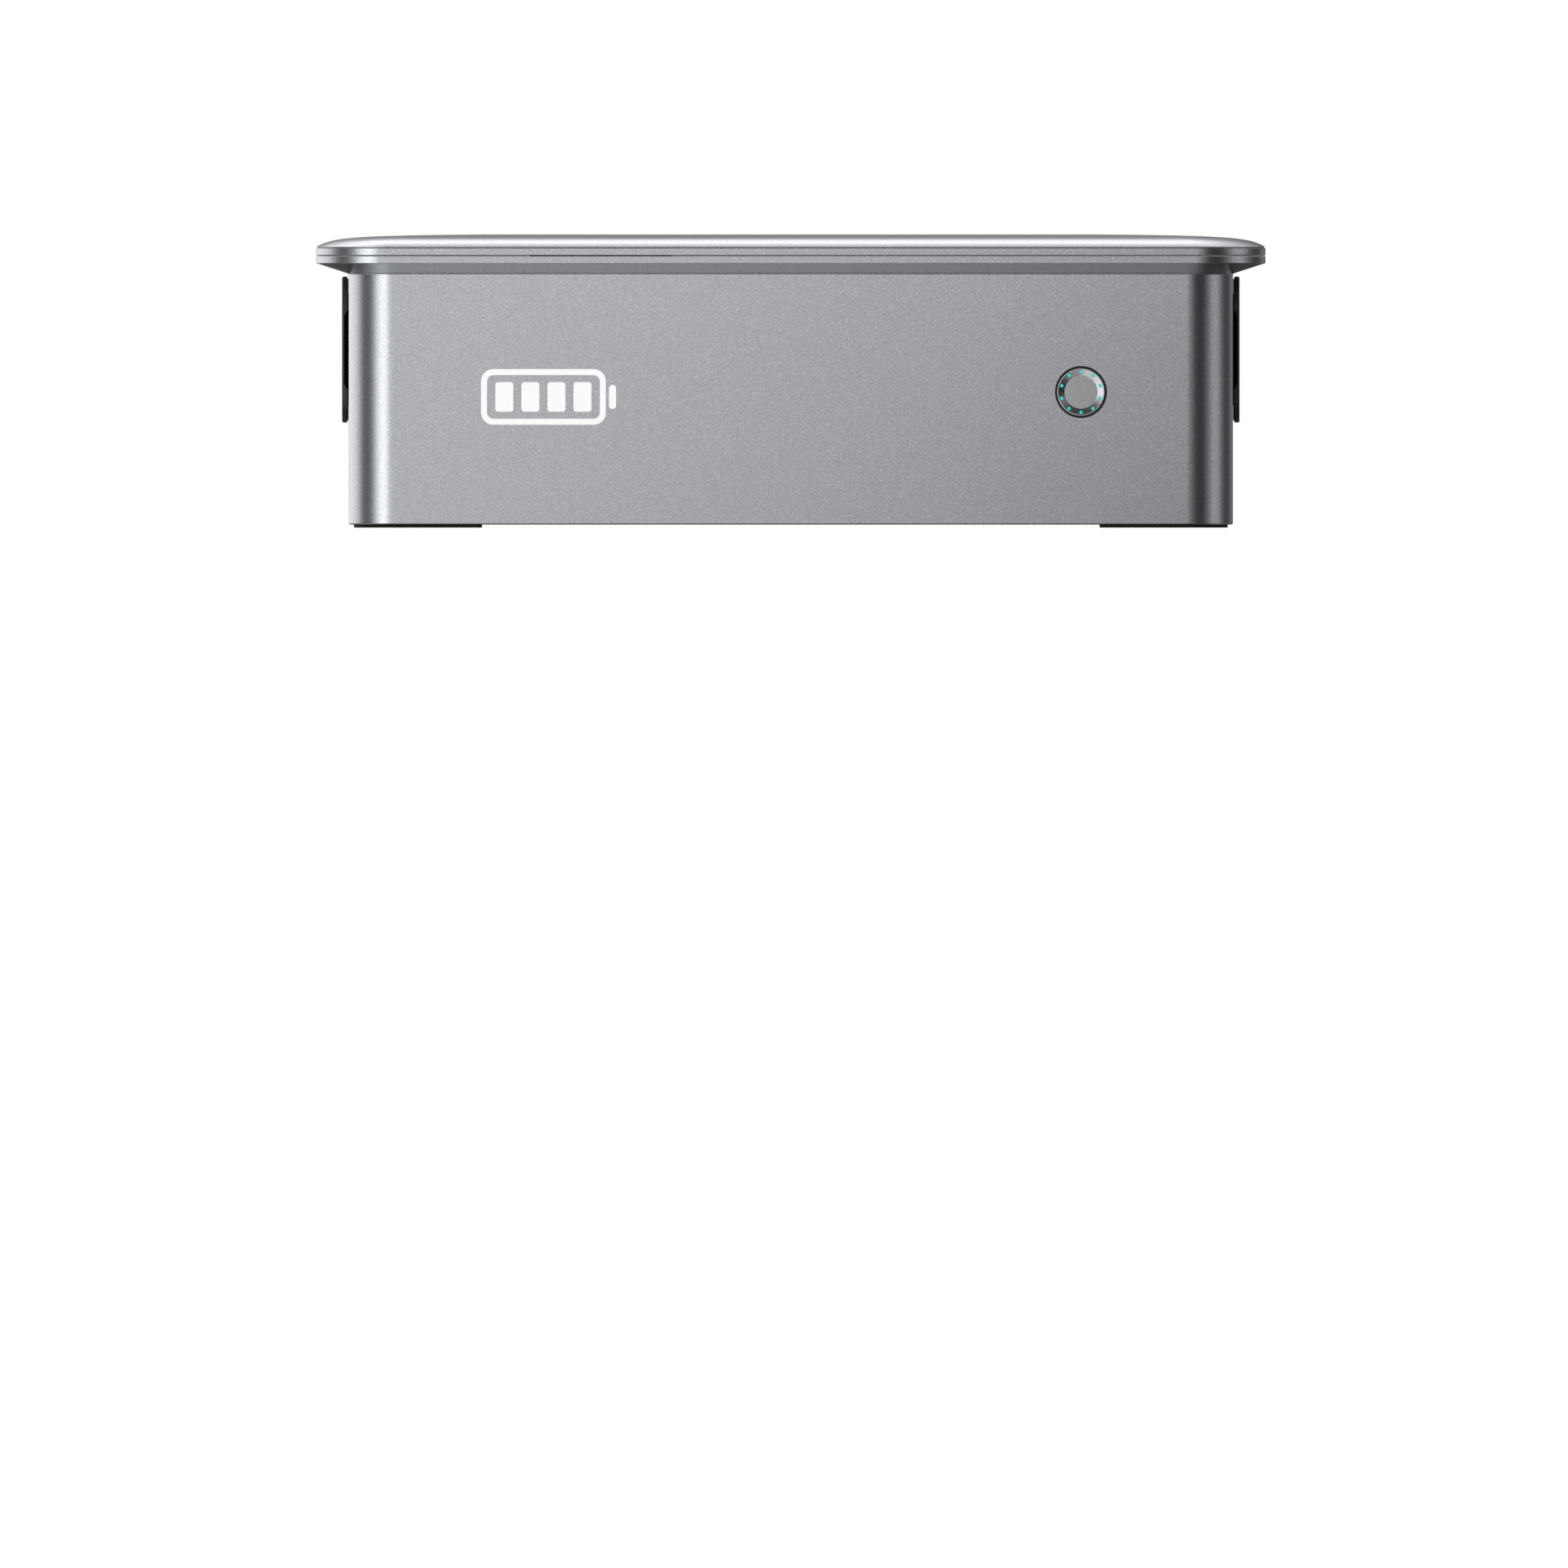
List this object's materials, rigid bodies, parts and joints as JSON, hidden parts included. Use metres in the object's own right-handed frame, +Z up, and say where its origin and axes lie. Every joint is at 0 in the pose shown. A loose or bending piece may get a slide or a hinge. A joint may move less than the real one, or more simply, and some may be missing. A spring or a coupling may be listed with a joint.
{
  "type": "stackable home battery unit",
  "caption": "Low box-shaped home battery with a domed lift-off lid on a flared brim, hinged side port covers, a lit round button and rubber foot pads.",
  "frame": {"origin": "on the floor, under the middle of the unit", "axes": "+X to the right seen from the front, +Y to the rear, +Z up; the front face looks along -Y"},
  "size_m": [0.35, 0.2, 0.1081],
  "materials": {
    "shell_metal": "silver grey metallic paint",
    "deck_plastic": "dark grey, lightly grained",
    "black_plastic": "black, satin",
    "socket_plastic": "dark grey, satin",
    "rubber": "black, matt",
    "button_metal": "fine bead-blasted",
    "light_guide": "translucent blue-green, lit",
    "steel": "zinc plated",
    "cell_can": "blue shrink sleeve",
    "copper": "bare copper",
    "circuit_board": "green solder resist",
    "heat_sink": "mill finish",
    "cable_red": "silicone sleeve",
    "cable_black": "silicone sleeve"
  },
  "bodies": {
    "enclosure": {"enclosure_tub": "shell_metal", "foot_front_left": "rubber", "foot_front_right": "rubber", "foot_rear_left": "rubber", "foot_rear_right": "rubber", "deck_plate": "deck_plastic", "deck_seal": "rubber", "deck_screw_1": "steel", "deck_screw_2": "steel", "deck_screw_3": "steel", "deck_screw_4": "steel", "deck_screw_5": "steel", "deck_screw_6": "steel", "lid_seal": "rubber", "port_bay_left": "black_plastic", "port_bay_right": "black_plastic", "port_seal_left": "rubber", "port_seal_right": "rubber", "hinge_pin_left": "steel", "hinge_pin_right": "steel", "power_socket_left": "socket_plastic", "power_socket_right": "socket_plastic", "data_socket_left": "socket_plastic", "data_socket_right": "socket_plastic", "button_ring": "rubber", "button_housing": "black_plastic", "led_board": "circuit_board", "switch_body": "socket_plastic", "stack_plug_top": "black_plastic", "stack_socket_bottom": "black_plastic", "stack_busbar": "copper", "cell_1": "cell_can", "cell_2": "cell_can", "cell_3": "cell_can", "cell_4": "cell_can", "cell_5": "cell_can", "cell_6": "cell_can", "cell_7": "cell_can", "cell_8": "cell_can", "end_plate_left": "heat_sink", "end_plate_right": "heat_sink", "cell_tray": "black_plastic", "contact_board": "circuit_board", "bms_board": "circuit_board", "heat_spreader": "heat_sink", "main_fuse": "socket_plastic", "cable_positive": "cable_red", "cable_negative": "cable_black", "vent_plug": "black_plastic", "earth_screw": "steel"},
    "lid": {"lid_frame": "shell_metal", "lid_panel": "shell_metal"},
    "cover_left": {"port_cover_left": "black_plastic"},
    "cover_right": {"port_cover_right": "black_plastic"},
    "button": {"button_cap": "button_metal", "button_light_guide": "light_guide", "switch_plunger": "socket_plastic"}
  },
  "joints": [
    {"name": "lid_lift", "type": "slide", "parent": "enclosure", "child": "lid", "axis": [0, 0, 1], "range_m": [0, 0.06]},
    {"name": "cover_left_hinge", "type": "hinge", "parent": "enclosure", "child": "cover_left", "pos_m": [-0.16448, 0.059, 0.06565], "axis": [0, 0, -1], "range_deg": [0, 110]},
    {"name": "cover_right_hinge", "type": "hinge", "parent": "enclosure", "child": "cover_right", "pos_m": [0.16448, 0.059, 0.06565], "axis": [0, 0, 1], "range_deg": [0, 110]},
    {"name": "button_press", "type": "slide", "parent": "enclosure", "child": "button", "axis": [0, 1, 0], "range_m": [0, 0.0008], "stiffness_N_per_m": 2000}
  ]
}
